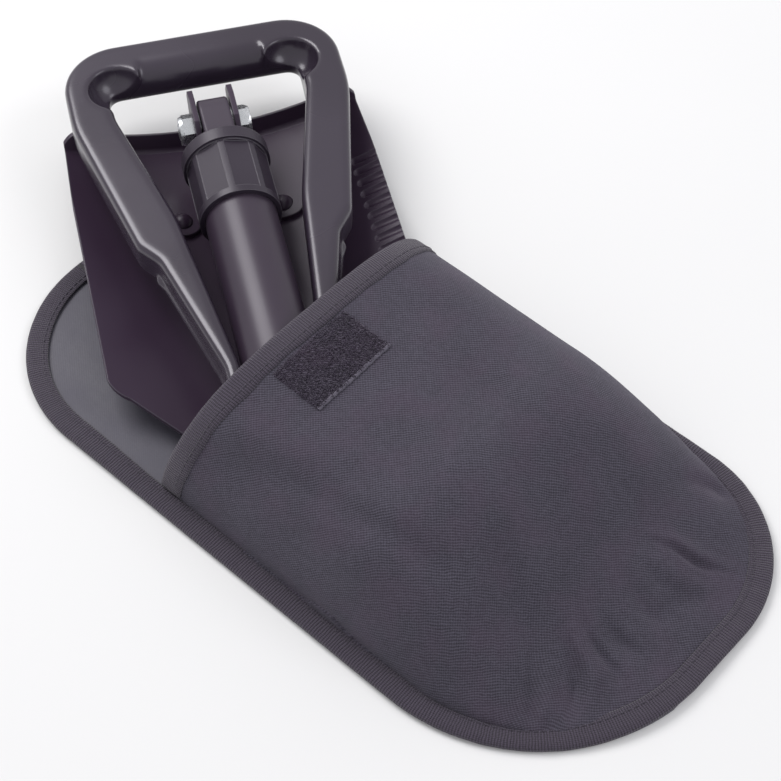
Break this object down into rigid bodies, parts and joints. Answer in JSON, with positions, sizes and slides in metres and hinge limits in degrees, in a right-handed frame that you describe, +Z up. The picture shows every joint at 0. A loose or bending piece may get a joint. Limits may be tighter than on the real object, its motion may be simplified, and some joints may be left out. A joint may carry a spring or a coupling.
{
  "type": "folding camp shovel",
  "caption": "Black folding camp shovel with D-handle, dished pointed blade and screw collar, folded and half drawn from its charcoal woven pouch.",
  "frame": {"origin": "middle of the footprint, on the floor under the pouch", "axes": "+Y along the folded shovel from the handle pin towards the fold bolt, +X across it towards the fluted edge of the blade, +Z up from the floor"},
  "size_m": [0.2824, 0.3749, 0.056],
  "materials": {
    "pouch_fabric": "coarse woven charcoal cloth",
    "pouch_tape": "ribbed binding tape",
    "loop_pad": "fuzzy loop pile",
    "hook_pad": "small moulded hooks",
    "blade_paint": "satin black powder coat over steel",
    "tube_paint": "satin black powder coat",
    "zinc_steel": "bright zinc plating",
    "collar_nylon": "moulded black nylon",
    "handle_nylon": "moulded black nylon, satin"
  },
  "bodies": {
    "pouch": {"pouch_back_panel": "pouch_fabric", "pouch_front_panel": "pouch_fabric", "pouch_edge_binding": "pouch_tape", "pouch_mouth_binding": "pouch_tape", "loop_patch": "loop_pad", "hook_patch": "hook_pad"},
    "blade": {"blade": "blade_paint", "hinge_bracket": "blade_paint", "bracket_rivets": "blade_paint", "fold_bolt": "zinc_steel", "fold_nut": "zinc_steel", "fold_spacers": "zinc_steel"},
    "shaft": {"shaft_head": "tube_paint", "shaft_tube": "tube_paint", "tail_block": "tube_paint", "tube_spring_pins": "zinc_steel"},
    "collar_ring": {"collar_ring": "zinc_steel"},
    "collar": {"lock_collar": "collar_nylon"},
    "handle": {"handle": "handle_nylon", "handle_pin": "zinc_steel", "friction_washers": "zinc_steel"}
  },
  "joints": [
    {"name": "draw_out", "type": "slide", "parent": "pouch", "child": "blade", "axis": [-0.5592, 0.829, 0], "range_m": [0, 0.2]},
    {"name": "blade_fold", "type": "hinge", "parent": "blade", "child": "shaft", "pos_m": [-0.03784, 0.13298, 0.035], "axis": [-1, 0, 0], "range_deg": [0, 180], "deforming": ["pouch_front_panel", "pouch_mouth_binding", "loop_patch"]},
    {"name": "collar_travel", "type": "slide", "parent": "shaft", "child": "collar_ring", "axis": [0, 1, 0], "range_m": [-0.009, 0]},
    {"name": "collar_turn", "type": "hinge", "parent": "collar_ring", "child": "collar", "pos_m": [-0.03784, 0.09698, 0.035], "axis": [0, 1, 0], "range_deg": [-540.5, 0]},
    {"name": "handle_fold", "type": "hinge", "parent": "shaft", "child": "handle", "pos_m": [-0.03784, -0.03902, 0.035], "axis": [1, 0, 0], "range_deg": [0, 180]}
  ],
  "couplings": [
    {"joint": "collar_turn", "follows": "collar_travel", "rad_per_m": 1047.2},
    {"joint": "handle_fold", "follows": "blade_fold", "ratio": 1}
  ]
}
